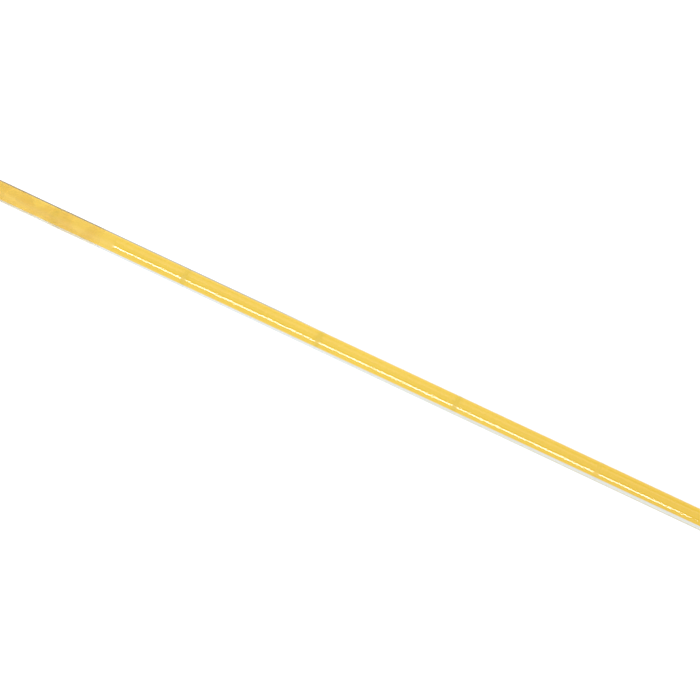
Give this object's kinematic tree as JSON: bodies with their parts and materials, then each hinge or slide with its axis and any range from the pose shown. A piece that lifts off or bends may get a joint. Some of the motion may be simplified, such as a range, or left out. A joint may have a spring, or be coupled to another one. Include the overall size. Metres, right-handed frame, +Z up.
{
  "type": "rhythmic ribbon wand",
  "caption": "Rhythmic gymnastics ribbon wand: glossy yellow stick with rubber handle, swivel tip and small snap hook holding a satin ribbon that is rolled up for storage.",
  "frame": {"origin": "under the middle of the whole wand as it lies, on the surface that it rests on", "axes": "+X along the stick from the butt to the ribbon, +Z up, +Y to the left of the stick"},
  "size_m": [0.7, 0.05, 0.0505],
  "materials": {
    "fibreglass": "pale glass-fibre rod, satin",
    "colour_film": "warm yellow film",
    "clear_sleeve": "clear glossy shrink sleeve",
    "frosted_tape": "frosted anti-slip tape, matte",
    "grip_rubber": "matte ribbed rubber",
    "trim_plastic": "moulded, satin",
    "plated_ferrule": "nickel plated",
    "plated_hook": "nickel plated casting",
    "steel": "stainless steel",
    "brass": "turned",
    "tab_webbing": "woven tape",
    "stiffening": "stiffened fabric patch",
    "satin": "glossy satin"
  },
  "bodies": {
    "stick": {"core_tube": "fibreglass", "colour_film": "colour_film", "clear_sleeve": "clear_sleeve", "frosted_tape": "frosted_tape", "grip_sleeve": "grip_rubber", "grip_collar": "trim_plastic", "butt_cap": "trim_plastic", "tip_plug": "trim_plastic", "tip_ferrule": "plated_ferrule", "ferrule_pin": "steel", "nose_bush": "brass", "thrust_washer": "steel"},
    "swivel": {"swivel_eye": "steel"},
    "snap_hook": {"hook_body": "plated_hook", "gate_pin": "steel", "gate_spring": "steel"},
    "snap_gate": {"hook_gate": "plated_hook"},
    "link_ring": {"d_ring": "steel"},
    "ribbon": {"ribbon_tab": "tab_webbing", "tab_rivet": "plated_ferrule", "end_patch": "stiffening", "ribbon_lead": "satin", "ribbon_roll": "satin"}
  },
  "joints": [
    {"name": "swivel_spin", "type": "hinge", "parent": "stick", "child": "swivel", "pos_m": [0.20449, 0, 0.0055], "axis": [1, 0, 0], "continuous": true},
    {"name": "hook_swing", "type": "hinge", "parent": "swivel", "child": "snap_hook", "pos_m": [0.20449, 0, 0.0055], "axis": [0, 0, 1], "range_deg": [-90, 90]},
    {"name": "gate_open", "type": "hinge", "parent": "snap_hook", "child": "snap_gate", "pos_m": [0.21664, 0, 0.0089], "axis": [0, -1, 0], "range_deg": [0, 24], "stiffness_Nm_per_rad": 0.004, "springref_deg": -17.19, "deforming": ["gate_spring"]},
    {"name": "ring_swing", "type": "hinge", "parent": "snap_hook", "child": "link_ring", "pos_m": [0.22114, 0, 0.0055], "axis": [0, 1, 0], "range_deg": [-75, 45]},
    {"name": "ribbon_fold", "type": "hinge", "parent": "link_ring", "child": "ribbon", "pos_m": [0.22801, 0, 0.0014], "axis": [0, 1, 0], "range_deg": [-60, 60]}
  ]
}
